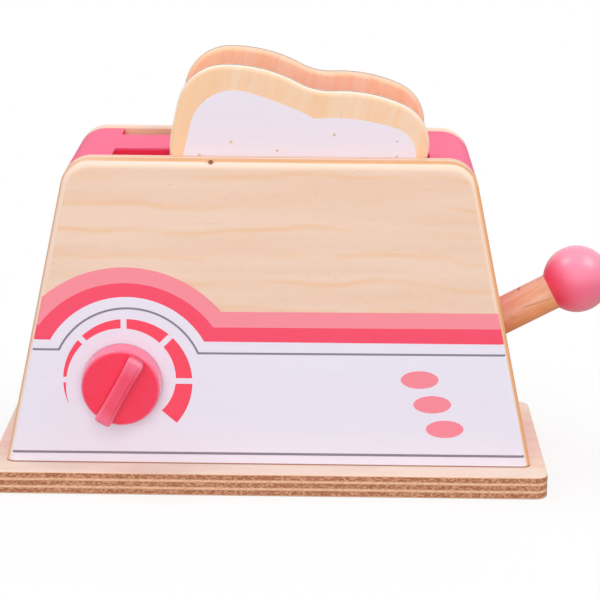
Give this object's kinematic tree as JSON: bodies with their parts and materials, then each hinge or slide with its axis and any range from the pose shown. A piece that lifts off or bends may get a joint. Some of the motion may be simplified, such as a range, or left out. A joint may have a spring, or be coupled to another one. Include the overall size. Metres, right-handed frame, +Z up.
{
  "type": "toy toaster",
  "caption": "Toy toaster of plywood and painted boards: a see-saw lever with a ball lifts slices of toast through the top, and a dial turns on the front.",
  "frame": {"origin": "centre of the base board's underside, on the surface the toy stands on", "axes": "+X towards the lever's ball, -Y out of the front panel and its dial, +Z up"},
  "size_m": [0.2434, 0.0962, 0.1645],
  "materials": {
    "base_ply": "clear matt lacquer, plies showing at the edge",
    "panel_ply": "clear satin lacquer, printed bands",
    "pink_paint": "satin pink paint",
    "beech": "bare sanded beech",
    "bare_ply": "bare birch plywood",
    "toast_ply": "clear matt lacquer with a printed white patch",
    "ball_paint": "gloss pink paint",
    "dial_plastic": "glossy moulded plastic",
    "steel": "zinc-plated steel"
  },
  "bodies": {
    "case": {"base_board": "base_ply", "front_panel": "panel_ply", "back_panel": "panel_ply", "left_wall": "pink_paint", "right_wall": "pink_paint", "top_board": "pink_paint", "case_dowels": "beech", "floor_screws": "steel", "post_screws": "steel", "front_pivot_post": "bare_ply", "rear_pivot_post": "bare_ply", "pivot_pin": "steel"},
    "lever": {"rocker": "bare_ply", "lift_bar": "beech", "lever_rod": "beech", "lever_ball": "ball_paint"},
    "front_toast": {"front_slice": "toast_ply"},
    "rear_toast": {"rear_slice": "toast_ply"},
    "dial": {"dial_knob": "dial_plastic", "dial_washer": "steel", "dial_screw": "steel"}
  },
  "joints": [
    {"name": "lever_press", "type": "hinge", "parent": "case", "child": "lever", "pos_m": [0.06, 0, 0.0431], "axis": [0, 1, 0], "range_deg": [0, 20]},
    {"name": "front_toast_lift", "type": "slide", "parent": "case", "child": "front_toast", "axis": [0, 0, 1], "range_m": [0, 0.0257]},
    {"name": "rear_toast_lift", "type": "slide", "parent": "case", "child": "rear_toast", "axis": [0, 0, 1], "range_m": [0, 0.0257]},
    {"name": "dial_turn", "type": "hinge", "parent": "case", "child": "dial", "pos_m": [-0.0565, -0.035, 0.0424], "axis": [0, 1, 0], "continuous": true}
  ],
  "couplings": [
    {"joint": "front_toast_lift", "follows": "lever_press", "m_per_rad": 0.073489},
    {"joint": "rear_toast_lift", "follows": "lever_press", "m_per_rad": 0.073489}
  ]
}
